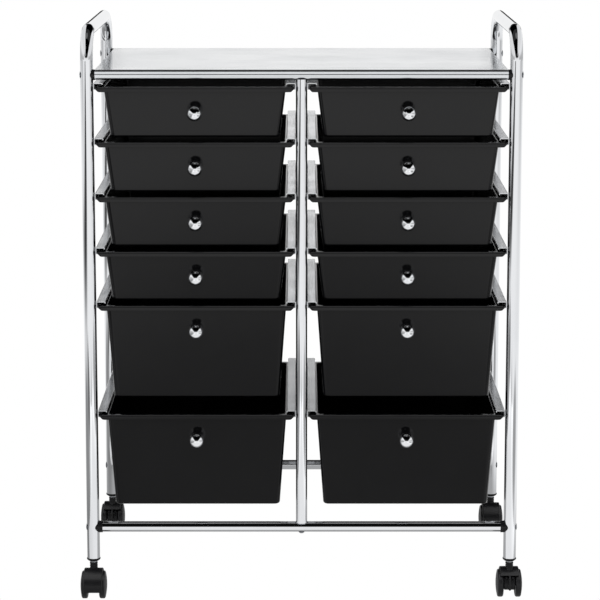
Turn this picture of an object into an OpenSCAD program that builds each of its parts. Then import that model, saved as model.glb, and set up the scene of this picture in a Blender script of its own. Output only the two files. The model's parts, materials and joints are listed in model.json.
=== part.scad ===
// Rolling drawer cart: chrome tube frame with two columns of black drawers on steel rails,
// a polished sheet top between two arched side tubes, and four twin-wheel casters.
// Units are millimetres, +Z is up, the front faces -Y, and the floor is at z = 0.

/* [Frame] */
// Distance between the left and right side tubes, centre to centre
side_pitch = 597; // [520:1:700]
// Distance between the front and rear posts, centre to centre
depth_pitch = 350; // [300:1:420]
// Height of the handles' top above the floor
handle_top = 822; // [815:1:900]
// Outer diameter of the side tubes
side_tube_d = 18; // [16:0.5:20]
// Wall of every frame tube
tube_wall = 1; // [0.8:0.1:1.5]
// Radius of the handle bends, on the centre line of the tube
bend_r = 40; // [30:1:60]
// Height of the side tubes' lower ends above the floor
leg_bottom = 59; // [57:0.5:65]
// Outer diameter of the centre posts
centre_post_d = 16; // [14:0.5:18]
// Outer diameter of the bottom crossbars
crossbar_d = 15; // [13:0.5:16]
// Height of the crossbars' centre line above the floor
crossbar_z = 105; // [103:0.5:115]

/* [Top shelf] */
// Height of the shelf's top face above the floor
shelf_top = 761; // [758:1:768]
// Outer diameter of the rolled front and rear edges
roll_d = 15; // [13:0.5:16]
// Thickness of the shelf sheet
sheet_t = 0.9; // [0.7:0.1:1.2]
// Depth of the flanges folded down at the shelf's ends
end_flange = 9; // [6:0.5:12]

/* [Rails] */
// Width of a rail's flanges
rail_w = 13; // [11:0.5:15]
// Outer height of a rail
rail_h = 9.5; // [8.5:0.5:11]
// Thickness of the rail sheet
rail_t = 1; // [0.8:0.1:1.2]
// Depth of the lip turned down from a rail's top flange
rail_lip = 2.5; // [1.5:0.5:3]
// Length of the rail past the centre line of the front and of the rear post
rail_reach = 3.5; // [2.5:0.5:4]

/* [Drawers] */
// Number of shallow rows
shallow_rows = 4; // [1:1:4]
// Number of deep rows
deep_rows = 2; // [1:1:2]
// Height of the top drawer's rim above the floor
top_rim = 737; // [735:0.5:738]
// Distance from a shallow drawer's rim to the rim below it
shallow_pitch = 77.2; // [74:0.2:78]
// Distance from a deep drawer's rim to the rim below it
deep_pitch = 157.5; // [140:0.5:160]
// Height of a shallow drawer
shallow_h = 71; // [60:0.5:71]
// Height of a deep drawer
deep_h = 134.5; // [110:0.5:138]
// Length of a drawer, from the front of its lip to the back of its flange
drawer_len = 360; // [320:1:362]
// Wall of a drawer
tub_wall = 2; // [1.5:0.1:2.5]
// Floor of a drawer
tub_floor = 2; // [1.5:0.1:3]
// Height of the front lip and its ears
lip_h = 7; // [6:0.5:9]
// Width of the flange that carries a drawer, measured from its body
flange_w = 9.3; // [8:0.1:9.5]
// Distance that a shallow drawer's sides draw in from rim to floor
shallow_side_taper = 8.75; // [4:0.25:10]
// Distance that a deep drawer's sides draw in from rim to floor
deep_side_taper = 9.75; // [4:0.25:12]
// Distance that a shallow drawer's ends draw in from rim to floor
shallow_end_taper = 8; // [4:0.25:10]
// Distance that a deep drawer's ends draw in from rim to floor
deep_end_taper = 10; // [4:0.25:12]
// Radius of the body's upright corners
body_corner_r = 8; // [6:0.5:12]

/* [Knobs] */
// Diameter of a knob's ball
knob_d = 22; // [18:0.5:24]
// Distance that a knob stands out from the drawer's front wall
knob_reach = 26; // [25:0.5:28]
// Distance from the rim down to the middle of the knob
knob_drop = 34; // [30:0.5:40]

/* [Casters] */
// Diameter of a wheel
wheel_d = 40; // [36:0.5:40]
// Width of a wheel, from its inner face to the crown of its outer face
wheel_w = 10.4; // [9:0.2:12]
// Thickness of the hood's web between the two wheels
web_w = 16; // [13:0.5:17]
// Width of the hood's fender, which covers the inner part of both wheels
fender_w = 27; // [24:0.5:30]
// Distance from the swivel axis back to the axle
trail = 4; // [2:0.5:5]
// Outer radius of the hood around the axle
hood_r = 24; // [23:0.5:25]
// Diameter of the swivel stem
stem_d = 8; // [7:0.5:9]
// Diameter of the wheel axle
axle_d = 6; // [5:0.5:6.5]

/* [Hidden] */
// Running clearance on a shaft, measured on the radius
running_gap = 0.05;
// Gap around a fastener in its hole, measured on the radius
hole_gap = 0.15;
// Gap between pieces that slot together
seat_gap = 0.1;
// Gap between a drawer and what it slides on or stops against
slide_gap = 0.3;
// Overrun of every cut past the faces that it opens
overrun = 1;

// Frame sizes
post_x = side_pitch / 2;
post_y = depth_pitch / 2;
bend_z = handle_top - side_tube_d / 2 - bend_r;
side_inner_x = post_x - side_tube_d / 2;
crossbar_saddle_len = 4.5;
crossbar_saddle_rim = 1;
crossbar_end_x = side_inner_x - crossbar_saddle_len;
shelf_saddle_len = 2.5;
shelf_end_x = side_inner_x - shelf_saddle_len;
spigot_len = 16;
roll_z = shelf_top - roll_d / 2;
cope_depth = 1.5;
foot_plug_len = 20;
head_plug_len = 6;
stub_d = 6;
stub_len = 5;
side_screw_d = 4.8;
side_screw_head_d = 10;
side_screw_head_h = 1.8;
side_screw_grip = 30;
centre_screw_d = 4;
centre_screw_head_d = 9;
centre_screw_head_h = 2.5;
centre_screw_grip = 10;

// Bay and rail sizes
bay_x = (side_inner_x + centre_post_d / 2) / 2;
bay_half = (side_inner_x - centre_post_d / 2) / 2;
rail_front = -post_y - rail_reach;
rail_len = 2 * (post_y + rail_reach);
rivet_d = 3;
rivet_head_d = 5.6;
rivet_head_h = 1.2;
rivet_tail = 1.5;

// Drawer sizes
rows = shallow_rows + deep_rows;
ear_gap = 2.25;
ear_step = 2;
ear_slope = 0.5;
flange_t = 2;
flange_edge = 3;
skirt_t = 2;
lip_corner = 4;
rim_edge_r = 0.7;
rim_corner_r = 4.5;
foot_r = 3;
inner_foot_r = 3;
front_overhang = 5;
rear_overhang = 6;
corner_steps = 4;
side_run = 2;
rim_half = bay_half - ear_gap;
body_half = rim_half - ear_step - flange_w;
rim_front = -post_y - side_tube_d / 2;
rim_rear = rim_front + drawer_len;
ear_back = rail_front - slide_gap - ear_slope;
rail_drop = flange_edge + slide_gap + rail_t;

// Knob sizes
knob_neck_d = 8;
knob_base_d = 11.5;
knob_base_h = 1.5;
knob_screw_d = 3.5;
knob_screw_head_d = 8;
knob_screw_head_h = 2.4;
knob_screw_bite = 9;
knob_bore_depth = 10;

// Caster sizes
wheel_gap = 1;
wheel_side_gap = 0.5;
wheel_edge_r = 2.5;
wheel_crown_r = 80;
wheel_groove_r = 12.5;
wheel_groove_w = 1.5;
wheel_groove_floor = 1.9;
axle_recess = 2;
axle_z = wheel_d / 2;
hood_half = fender_w / 2;
hood_shoulder_r = 1.5;
hood_foot_drop = 5.5;
hood_brim_rise = 16;
hood_brim_z = axle_z + hood_brim_rise;
hood_mouth_y = -7;
socket_rim = 0.75;
socket_flange_h = 4;
socket_len = 34;
collar_d = 11;
collar_h = 1.5;
neck_d = 11.3;
neck_gap = 1;
neck_top = leg_bottom - socket_flange_h - collar_h - neck_gap;
stem_foot_rise = 8;
stem_foot_z = axle_z + stem_foot_rise;
stem_in_socket = 30;

// Names of the drawers' columns and of the casters' corners
COLUMNS = ["left", "right"];
CORNERS = ["front_left", "front_right", "rear_left", "rear_right"];
WHEELS = ["left", "right"];
// Angle that each caster is swivelled through, in the order of the corners
caster_turns = [180, 0, 0, 180];

function column_side(column) = 2 * column - 1;
function corner_x(corner) = (corner % 2 == 0 ? -1 : 1) * post_x;
function corner_y(corner) = (corner < 2 ? -1 : 1) * post_y;
function drawer_name(column, row) = str("drawer_", COLUMNS[column], "_", row + 1);
function knob_name(column, row) = str("knob_", COLUMNS[column], "_", row + 1);

$fn = 48;

// Height of the rim of the drawer in a row, counted from the top
function rim_z(row) =
    top_rim - min(row, shallow_rows) * shallow_pitch - max(row - shallow_rows, 0) * deep_pitch;
function is_deep(row) = row >= shallow_rows;
function tub_h(row) = is_deep(row) ? deep_h : shallow_h;
function side_taper(row) = is_deep(row) ? deep_side_taper : shallow_side_taper;
function end_taper(row) = is_deep(row) ? deep_end_taper : shallow_end_taper;
function rail_z(row) = rim_z(row) - rail_drop;
function rivet_z(row) = rail_z(row) + rail_h / 2;
// Lean of a drawer's front wall from upright
function wall_lean(row) = atan(end_taper(row) / tub_h(row));
// Outer face of the front wall at a distance below the rim
function wall_y(row, drop) = rim_front + front_overhang + end_taper(row) * drop / tub_h(row);

// Section of a round tube
module tube_section(d) {
    difference() {
        circle(d = d);
        circle(d = d - 2 * tube_wall);
    }
}

// Straight tube from z = 0 up
module tube(d, length) {
    linear_extrude(height = length) tube_section(d);
}

// Everything placed along +X from the origin instead of +Z
module along_x() {
    rotate([0, 90, 0]) children();
}

// Pan-head screw or rivet: shank up from z = 0, head below it with a domed face
module dome_pin(shank_d, shank_len, head_d, head_h) {
    dome_r = (head_d * head_d / 4 + head_h * head_h) / (2 * head_h);
    cylinder(d = shank_d, h = shank_len);
    intersection() {
        translate([0, 0, -head_h + dome_r]) sphere(r = dome_r);
        translate([0, 0, -head_h]) cylinder(d = head_d, h = head_h);
    }
}

// Side tube bent into an upside-down U: two legs, and the handle across their tops
module side_tube(side) {
    color("gainsboro") difference() {
        translate([side * post_x, 0, 0]) {
            for (end = [-1, 1])
                translate([0, end * post_y, leg_bottom]) tube(side_tube_d, bend_z - leg_bottom);
            for (end = [0, 1])
                mirror([0, end, 0])
                translate([0, post_y - bend_r, bend_z])
                rotate([90, 0, 90])
                rotate_extrude(angle = 90)
                translate([bend_r, 0]) tube_section(side_tube_d);
            translate([0, bend_r - post_y, bend_z + bend_r])
                rotate([-90, 0, 0]) tube(side_tube_d, 2 * (post_y - bend_r));
        }
        for (end = [-1, 1], z = [crossbar_z, roll_z])
            translate([side * (post_x - side_tube_d), end * post_y, z])
            along_x() translate([0, 0, side < 0 ? -2 * side_tube_d : 0])
            cylinder(d = side_screw_d + 2 * hole_gap, h = 2 * side_tube_d);
        for (end = [-1, 1], row = [0:rows - 1])
            translate([side * post_x, end * post_y, rivet_z(row)])
            along_x() mirror([0, 0, side > 0 ? 1 : 0]) cylinder(d = rivet_d + 2 * hole_gap, h = side_tube_d);
    }
}

// Centre post, coped to the crossbar at its foot and to the shelf's rolled edge at its top
module centre_post(end) {
    foot_z = crossbar_z + crossbar_d / 2 - cope_depth;
    head_z = roll_z - roll_d / 2 + cope_depth;
    color("gainsboro") difference() {
        translate([0, end * post_y, foot_z]) tube(centre_post_d, head_z - foot_z);
        translate([-centre_post_d, end * post_y, crossbar_z])
            along_x() cylinder(d = crossbar_d + 2 * seat_gap, h = 2 * centre_post_d);
        translate([-centre_post_d, end * post_y, roll_z])
            along_x() cylinder(d = roll_d + 2 * seat_gap, h = 2 * centre_post_d);
        for (row = [0:rows - 1])
            translate([-centre_post_d, end * post_y, rivet_z(row)])
            along_x() cylinder(d = rivet_d + 2 * hole_gap, h = 2 * centre_post_d);
    }
}

// Plugs in the centre posts: the lower one takes a screw, the upper one has a stub for the shelf
module centre_post_plugs() {
    plug_d = centre_post_d - 2 * tube_wall - 2 * seat_gap;
    foot_z = crossbar_z + crossbar_d / 2 + seat_gap;
    head_z = roll_z - roll_d / 2 - seat_gap;
    color("dimgray") for (end = [-1, 1]) translate([0, end * post_y, 0]) {
        difference() {
            translate([0, 0, foot_z]) cylinder(d = plug_d, h = foot_plug_len);
            translate([0, 0, foot_z - overrun])
                cylinder(d = centre_screw_d + 2 * seat_gap, h = centre_screw_grip + 2 * overrun);
        }
        translate([0, 0, head_z - head_plug_len]) {
            cylinder(d = plug_d, h = head_plug_len);
            cylinder(d = stub_d, h = head_plug_len + stub_len);
        }
    }
}

// Crossbar between the saddles of two side tubes, drilled upright for the centre post's screw
module crossbar(end) {
    color("gainsboro") difference() {
        translate([-crossbar_end_x, end * post_y, crossbar_z]) along_x() tube(crossbar_d, 2 * crossbar_end_x);
        translate([0, end * post_y, crossbar_z - crossbar_d])
            cylinder(d = centre_screw_d + 2 * hole_gap, h = 2 * crossbar_d);
    }
}

// Saddle that hugs a side tube and plugs into the end of a bar: axis +X, the tube's centre at the origin
module saddle(collar_d, bore_d, bar_end_x) {
    inset = post_x - bar_end_x;
    difference() {
        union() {
            translate([-inset, 0, 0]) along_x() cylinder(d = collar_d, h = inset);
            translate([-inset - spigot_len, 0, 0])
                along_x() cylinder(d = bore_d - 2 * seat_gap, h = spigot_len);
        }
        translate([0, 0, -side_tube_d]) cylinder(d = side_tube_d + 2 * seat_gap, h = 2 * side_tube_d);
        translate([-inset - spigot_len - overrun, 0, 0])
            along_x() cylinder(d = side_screw_d + 2 * seat_gap, h = 2 * inset + spigot_len);
    }
}

// Four saddles at one height, one for each leg
module saddles(collar_d, bore_d, bar_end_x, z) {
    color([0.1, 0.1, 0.1]) for (side = [0, 1], end = [-1, 1])
        mirror([side, 0, 0]) translate([post_x, end * post_y, z]) saddle(collar_d, bore_d, bar_end_x);
}

// Section of the shelf sheet across the cart: flat top between two rolled edges
module shelf_section() {
    for (end = [-1, 1])
        translate([end * post_y, roll_z]) circle(d = roll_d);
    translate([-post_y, shelf_top - sheet_t]) square([2 * post_y, sheet_t]);
}

// Shelf sheet with rolled front and rear edges and folded ends, with a hole for each centre post's stub
module top_shelf() {
    flange_half_y = post_y - roll_d / 2;
    color("silver") difference() {
        union() {
            translate([-shelf_end_x, 0, 0]) rotate([90, 0, 90])
                linear_extrude(height = 2 * shelf_end_x) shelf_section();
            for (side = [0, 1]) mirror([side, 0, 0])
                translate([shelf_end_x - sheet_t, -flange_half_y, shelf_top - end_flange])
                cube([sheet_t, 2 * flange_half_y, end_flange]);
        }
        for (end = [-1, 1]) {
            translate([-shelf_end_x - overrun, end * post_y, roll_z])
                along_x() cylinder(d = roll_d - 2 * sheet_t, h = 2 * (shelf_end_x + overrun));
            translate([0, end * post_y, roll_z - roll_d])
                cylinder(d = stub_d + 2 * hole_gap, h = roll_d);
        }
    }
}

// Section of a rail: web at x = 0, flanges out to +X, and a lip turned down from the top flange
module rail_section() {
    difference() {
        square([rail_w, rail_h]);
        translate([rail_t, rail_t]) square([rail_w - 2 * rail_t, rail_h - 2 * rail_t]);
        translate([rail_t, rail_t]) square([rail_w, rail_h - rail_t - rail_lip]);
    }
}

// One rail for each row along one side of a column, with its web against the posts
module rails(column, edge) {
    web_x = column_side(column) * bay_x + edge * (bay_half - seat_gap);
    color("whitesmoke") for (row = [0:rows - 1]) difference() {
        translate([web_x, rail_front + rail_len, rail_z(row)])
            mirror([edge > 0 ? 1 : 0, 0, 0])
            rotate([90, 0, 0]) linear_extrude(height = rail_len) rail_section();
        for (end = [-1, 1])
            translate([web_x - rail_w / 2, end * post_y, rivet_z(row)])
            along_x() cylinder(d = rivet_d + 2 * hole_gap, h = rail_w);
    }
}

// Rivets with their heads inside the rails and their tails inside the posts
module rail_rivets() {
    head_x = bay_half - seat_gap - rail_t;
    shank_len = rail_t + seat_gap + tube_wall + rivet_tail;
    color("silver") for (side = [-1, 1], edge = [0, 1], end = [-1, 1], row = [0:rows - 1])
        translate([side * bay_x, end * post_y, rivet_z(row)])
        mirror([edge, 0, 0]) translate([head_x, 0, 0])
        along_x() dome_pin(rivet_d, shank_len, rivet_head_d, rivet_head_h);
}

// Screws driven through the side tubes into the saddles, for the crossbars and for the shelf
module side_screws() {
    color("silver") for (side = [0, 1], end = [-1, 1], z = [crossbar_z, roll_z])
        mirror([side, 0, 0]) translate([post_x + side_tube_d / 2, end * post_y, z])
        rotate([0, -90, 0]) dome_pin(side_screw_d, side_screw_grip, side_screw_head_d, side_screw_head_h);
}

// Screws driven up through the crossbars into the centre posts
module centre_screws() {
    color("silver") for (end = [-1, 1])
        translate([0, end * post_y, crossbar_z - crossbar_d / 2])
        dome_pin(centre_screw_d, crossbar_d + centre_screw_grip, centre_screw_head_d, centre_screw_head_h);
}

// Sockets pressed into the legs, which hold the casters' stems
module leg_sockets() {
    plug_d = side_tube_d - 2 * tube_wall - 2 * seat_gap;
    color([0.1, 0.1, 0.1]) for (corner = [0:3])
        translate([corner_x(corner), corner_y(corner), leg_bottom - socket_flange_h]) difference() {
            union() {
                cylinder(d = side_tube_d + 2 * socket_rim, h = socket_flange_h);
                cylinder(d = plug_d, h = socket_flange_h + socket_len);
            }
            translate([0, 0, -overrun])
                cylinder(d = stem_d + 2 * running_gap, h = stem_in_socket + 2 * overrun);
        }
}

// Swivel stems with the collar that bears on the socket
module caster_stems() {
    collar_top = leg_bottom - socket_flange_h;
    color("silver") for (corner = [0:3]) translate([corner_x(corner), corner_y(corner), 0]) {
        translate([0, 0, stem_foot_z]) cylinder(d = stem_d, h = collar_top + stem_in_socket - stem_foot_z);
        translate([0, 0, collar_top - collar_h]) cylinder(d = collar_d, h = collar_h);
    }
}

// Quarter circle of points about a corner's centre, from a start angle
function corner_arc(x, y, r, start) =
    [for (step = [0:corner_steps])
        let (turn = start + 90 * step / corner_steps) [x + r * cos(turn), y + r * sin(turn)]];

function lifted(points, z) = [for (point = points) [point.x, point.y, z]];

// Closed ring around a drawer, seen from above: wide at the ears, narrow behind them
function tub_ring(wide, narrow, front, rear, r, ear_y, front_z, side_z) =
    concat(
        lifted(corner_arc(wide - r, front + r, r, -90), front_z),
        [[wide, ear_y, front_z], [narrow, ear_y + ear_slope, side_z]],
        lifted(corner_arc(narrow - r, rear - r, r, 0), side_z),
        lifted(corner_arc(r - narrow, rear - r, r, 90), side_z),
        [[-narrow, ear_y + ear_slope, side_z], [-wide, ear_y, front_z]],
        lifted(corner_arc(r - wide, front + r, r, 180), front_z)
    );

// Ring of the tapered body at a distance below the rim, drawn in by an inset
function body_ring(row, drop, inset) =
    let (
        half = body_half - side_taper(row) * drop / tub_h(row) - inset,
        front = wall_y(row, drop) + inset,
        rear = rim_rear - rear_overhang - end_taper(row) * drop / tub_h(row) - inset,
        r = body_corner_r - min(inset, body_corner_r / 2)
    )
    tub_ring(half, half, front, rear, r, front + r + side_run, -drop, -drop);

// Ring of the rim, drawn in by an inset, with its own heights at the front lip and behind the ears
function rim_ring(inset, lip_inset, front_z, side_z) =
    tub_ring(
        rim_half - inset - lip_inset, rim_half - ear_step - inset, rim_front + inset, rim_rear - inset,
        rim_corner_r - min(inset, rim_corner_r / 2), ear_back, front_z, side_z
    );

// Rings of a whole drawer: outside from the floor up, round the rim, and down the inside
function tub_rings(row) = let (h = tub_h(row)) [
    body_ring(row, h, foot_r),
    body_ring(row, h - foot_r * (1 - cos(45)), foot_r * (1 - sin(45))),
    body_ring(row, h - foot_r, 0),
    body_ring(row, flange_t, 0),
    rim_ring(skirt_t, 0, -flange_t, -flange_t),
    rim_ring(skirt_t, lip_corner, -lip_h, -flange_edge),
    rim_ring(0, lip_corner, -lip_h, -flange_edge),
    rim_ring(0, 0, -lip_h + lip_corner, -flange_edge + rim_edge_r),
    rim_ring(0, 0, -rim_edge_r, -rim_edge_r),
    rim_ring(rim_edge_r, 0, 0, 0),
    body_ring(row, 0, tub_wall),
    body_ring(row, h - tub_floor - inner_foot_r, tub_wall),
    body_ring(row, h - tub_floor, tub_wall + inner_foot_r)
];

// Solid skin over a stack of rings with equal numbers of points
module loft(rings) {
    count = len(rings[0]);
    last = len(rings) - 1;
    polyhedron(
        points = [for (ring = rings, point = ring) point],
        faces = concat(
            [[for (i = [0:count - 1]) i]],
            [for (level = [0:last - 1], i = [0:count - 1])
                let (a = level * count + i, b = level * count + (i + 1) % count)
                each [[a, a + count, b + count], [a, b + count, b]]],
            [[for (i = [count - 1:-1:0]) last * count + i]]
        )
    );
}

// Moves children to the middle of a knob's seat, with +Z out of the front wall
module at_knob(column, row) {
    translate([column_side(column) * bay_x, wall_y(row, knob_drop), rim_z(row) - knob_drop])
        rotate([90 + wall_lean(row), 0, 0]) children();
}

// Moulded drawer: tapered tub, side flanges that ride in the rails, and a front lip with ears
module drawer(column, row) {
    color([0.13, 0.13, 0.14]) difference() {
        translate([column_side(column) * bay_x, 0, rim_z(row)]) loft(tub_rings(row));
        at_knob(column, row) translate([0, 0, -tub_wall - overrun])
            cylinder(d = knob_screw_d + 2 * hole_gap, h = tub_wall + 2 * overrun);
    }
}

// Ball knob on a short neck, and the screw that holds it from inside the drawer
module knob(column, row) {
    color("gainsboro") at_knob(column, row) {
        difference() {
            union() {
                translate([0, 0, knob_reach - knob_d / 2]) sphere(d = knob_d);
                cylinder(d = knob_neck_d, h = knob_reach - knob_d / 2);
                cylinder(d1 = knob_base_d, d2 = knob_neck_d, h = knob_base_h);
            }
            translate([0, 0, -overrun])
                cylinder(d = knob_screw_d + 2 * running_gap, h = knob_bore_depth + overrun);
        }
        translate([0, 0, -tub_wall])
            dome_pin(knob_screw_d, tub_wall + knob_screw_bite, knob_screw_head_d, knob_screw_head_h);
    }
}

// Moves children to a caster's swivel axis, turned as that caster stands
module at_caster(corner) {
    translate([corner_x(corner), corner_y(corner), 0]) rotate([0, 0, caster_turns[corner]]) children();
}

// Moves children to the axle, with +Z along it
module at_axle() {
    translate([0, trail, axle_z]) along_x() children();
}

// Half section of the hood's outside, to be turned about the axle: rounded at both edges
module hood_section() {
    flat = hood_half - hood_shoulder_r;
    translate([0, -flat]) square([hood_r, 2 * flat]);
    translate([0, -hood_half]) square([hood_r - hood_shoulder_r, 2 * hood_half]);
    for (side = [-1, 1])
        intersection() {
            translate([hood_r - hood_shoulder_r, side * flat]) circle(r = hood_shoulder_r);
            translate([0, -hood_half]) square([hood_r, 2 * hood_half]);
        }
}

// Caster hood: fenders over both wheels, the web between them, and the neck that turns on the stem
module caster_hood(corner) {
    pocket_r = wheel_d / 2 + wheel_gap;
    color([0.08, 0.08, 0.09]) at_caster(corner) difference() {
        union() {
            difference() {
                at_axle() rotate_extrude() hood_section();
                for (side = [0, 1]) mirror([side, 0, 0]) {
                    at_axle() translate([0, 0, web_w / 2]) cylinder(r = pocket_r, h = hood_half);
                    translate([web_w / 2, -hood_r - overrun, 0])
                        cube([hood_half, hood_r + overrun + hood_mouth_y, hood_brim_z]);
                }
                translate([-hood_half - overrun, trail - hood_r - overrun, axle_z - hood_foot_drop - hood_r])
                    cube([2 * (hood_half + overrun), 2 * (hood_r + overrun), hood_r]);
            }
            translate([0, 0, hood_brim_z]) cylinder(d = neck_d, h = neck_top - hood_brim_z);
        }
        translate([0, 0, stem_foot_z - overrun])
            cylinder(d = stem_d + 2 * running_gap, h = neck_top - stem_foot_z + 2 * overrun);
        at_axle() translate([0, 0, -web_w / 2 - overrun])
            cylinder(d = axle_d + 2 * running_gap, h = web_w + 2 * overrun);
    }
}

// Axle fixed in the hood's web, with a journal for a wheel at each end
module caster_axle(corner) {
    half = web_w / 2 + wheel_side_gap + wheel_w - axle_recess;
    color("silver") at_caster(corner) at_axle() translate([0, 0, -half]) cylinder(d = axle_d, h = 2 * half);
}

// Half section of a wheel, to be turned about the axle: rounded tread and a crowned outer face with a groove
module wheel_section() {
    r = wheel_d / 2;
    face_r = r - wheel_edge_r;
    tread_w = wheel_w - wheel_crown_r + sqrt(wheel_crown_r * wheel_crown_r - face_r * face_r);
    difference() {
        union() {
            intersection() {
                square([face_r, wheel_w]);
                translate([0, wheel_w - wheel_crown_r]) circle(r = wheel_crown_r);
            }
            translate([0, wheel_edge_r]) square([r, tread_w - 2 * wheel_edge_r]);
            for (y = [wheel_edge_r, tread_w - wheel_edge_r])
                translate([face_r, y]) circle(r = wheel_edge_r);
        }
        translate([wheel_groove_r, wheel_w - wheel_groove_floor]) square([wheel_groove_w, wheel_w]);
        translate([-r, -overrun]) square([r, wheel_w + wheel_edge_r]);
        translate([0, -overrun])
            square([axle_d / 2 + running_gap, wheel_w - axle_recess + running_gap + overrun]);
    }
}

// One of a caster's two wheels, named by the side that it stands on
module caster_wheel(corner, wheel) {
    turned = caster_turns[corner] == 0 ? 0 : 1;
    color([0.08, 0.08, 0.09]) at_caster(corner) mirror([(wheel + turned + 1) % 2, 0, 0])
        at_axle() translate([0, 0, web_w / 2 + wheel_side_gap]) rotate_extrude() wheel_section();
}

side_tube(-1);  // side_tube_left
side_tube(1);  // side_tube_right
centre_post(-1);  // centre_post_front
centre_post(1);  // centre_post_rear
centre_post_plugs();
crossbar(-1);  // crossbar_front
crossbar(1);  // crossbar_rear
saddles(crossbar_d + 2 * crossbar_saddle_rim, crossbar_d - 2 * tube_wall, crossbar_end_x, crossbar_z);  // crossbar_saddles
top_shelf();
saddles(roll_d, roll_d - 2 * sheet_t, shelf_end_x, roll_z);  // shelf_saddles
rails(0, -1);  // rails_left_outer
rails(0, 1);  // rails_left_inner
rails(1, -1);  // rails_right_inner
rails(1, 1);  // rails_right_outer
rail_rivets();
side_screws();
centre_screws();
leg_sockets();
caster_stems();
for (column = [0:1], row = [0:rows - 1]) {
    drawer(column, row);
    knob(column, row);
}
for (corner = [0:3]) {
    caster_hood(corner);
    caster_axle(corner);
    for (wheel = [0:1])
        caster_wheel(corner, wheel);
}
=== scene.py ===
# %% [markdown]
# # A rolling drawer cart, dressed for its photograph
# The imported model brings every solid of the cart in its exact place. This file gives each one the surface and the
# finish that the eye expects: chromed tube, polished sheet, black moulded drawers, nylon casters.
# Every shape is worked out with numpy in millimetres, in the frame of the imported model, and turned to metres once.

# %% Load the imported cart
import json
import bmesh
import bpy
import numpy as np
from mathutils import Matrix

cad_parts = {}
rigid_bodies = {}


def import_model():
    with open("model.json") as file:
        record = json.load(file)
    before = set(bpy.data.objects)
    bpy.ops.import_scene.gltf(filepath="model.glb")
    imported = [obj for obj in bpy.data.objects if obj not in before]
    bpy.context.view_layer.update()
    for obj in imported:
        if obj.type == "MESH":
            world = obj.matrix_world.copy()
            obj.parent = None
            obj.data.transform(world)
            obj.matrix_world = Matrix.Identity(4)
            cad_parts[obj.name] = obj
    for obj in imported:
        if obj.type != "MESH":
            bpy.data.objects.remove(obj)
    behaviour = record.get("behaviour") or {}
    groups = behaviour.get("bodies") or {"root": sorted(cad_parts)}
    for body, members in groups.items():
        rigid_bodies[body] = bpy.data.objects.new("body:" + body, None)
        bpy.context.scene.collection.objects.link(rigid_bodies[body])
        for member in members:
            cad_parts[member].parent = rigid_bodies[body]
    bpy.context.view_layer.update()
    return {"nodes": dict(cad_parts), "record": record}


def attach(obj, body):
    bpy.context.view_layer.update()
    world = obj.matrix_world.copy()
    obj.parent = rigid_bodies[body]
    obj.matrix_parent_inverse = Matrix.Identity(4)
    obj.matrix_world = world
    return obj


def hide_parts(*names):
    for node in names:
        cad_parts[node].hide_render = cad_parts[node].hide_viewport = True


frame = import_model()

# %% [markdown]
# ## Grids, rings and poles
# A surface is a grid of points: rows go along it, columns go around it. Four neighbouring points make a face. Where a
# row shrinks to one point it is a pole, and merging the equal points closes it. Merging and then recalculating the
# normals once, for every piece, is simpler than caring about the winding of each grid.

# %% Faces of a grid, and shells made of them
MM = 0.001


def grid(points):
    """Shell of a grid whose columns close on themselves: face (i, j) joins (i, j), (i, j+1), (i+1, j+1), (i+1, j)."""
    rows, columns = points.shape[:2]
    i, j = np.meshgrid(np.arange(rows - 1), np.arange(columns), indexing="ij")
    k = (j + 1) % columns
    faces = np.stack([i * columns + j, i * columns + k, (i + 1) * columns + k, (i + 1) * columns + j], -1)
    return points.reshape(-1, 3), faces.reshape(-1, 4)


def joined(*shells):
    """One shell out of several: each one's point numbers move up by the points before it."""
    starts = np.cumsum([0] + [len(points) for points, _ in shells])
    return (np.concatenate([points for points, _ in shells]),
            np.concatenate([faces + start for (_, faces), start in zip(shells, starts)]))


def repeated(shell, places):
    """A shell copied to every place: point (n, p) = place n + point p."""
    points, faces = shell
    places = np.asarray(places, float)
    steps = np.arange(len(places))[:, None, None] * len(points)
    return (places[:, None] + points).reshape(-1, 3), (faces[None] + steps).reshape(-1, 4)


def mirrored(shell, axis):
    """A shell reflected in the plane through the origin across one axis."""
    points, faces = shell
    return points * np.where(np.arange(3) == axis, -1, 1), faces


# %% [markdown]
# ## Soft corners
# Nothing that is bent, drawn or moulded has a sharp corner. One helper takes a rough outline and replaces each corner
# by an arc, so a profile is written as the few points that a drawing would give.

# %% Round the corners of an outline
def rounded(corners, radii, steps=6):
    """Outline with an arc of radius r in each corner. From a corner p with unit directions a in and b out that turn by
    an angle w, the arc starts at p - a r tan(w/2), and its point at angle f is start + r (sin f a + (1 - cos f) n)."""
    p = np.asarray(corners, float)
    r = np.broadcast_to(np.asarray(radii, float), len(p)).copy()
    r[[0, -1]] = 0
    leg = np.diff(p, axis=0)
    unit = leg / np.linalg.norm(leg, axis=1, keepdims=True)
    a, b = np.vstack([unit[:1], unit]), np.vstack([unit, unit[-1:]])
    turn = np.arctan2(a[:, 0] * b[:, 1] - a[:, 1] * b[:, 0], (a * b).sum(1))
    side = np.sign(turn)[:, None] * np.stack([-a[:, 1], a[:, 0]], 1)
    start = p - a * (r * np.tan(np.abs(turn) / 2))[:, None]
    f = np.abs(turn)[:, None] * np.linspace(0, 1, steps)
    arc = np.sin(f)[..., None] * a[:, None] + (1 - np.cos(f))[..., None] * side[:, None]
    line = (start[:, None] + r[:, None, None] * arc).reshape(-1, 2)
    keep = np.append(True, np.linalg.norm(np.diff(line, axis=0), axis=1) > 1e-6)
    return line[keep]


# %% [markdown]
# ## Turned, carried and folded shapes
# Three families cover the whole cart. Knobs, wheels, screws and sockets are turned: a profile goes round an axis.
# Tubes are carried: a circle follows a path. Rails and the shelf are folded sheet: a line with a thickness is pushed
# along its length.

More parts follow.
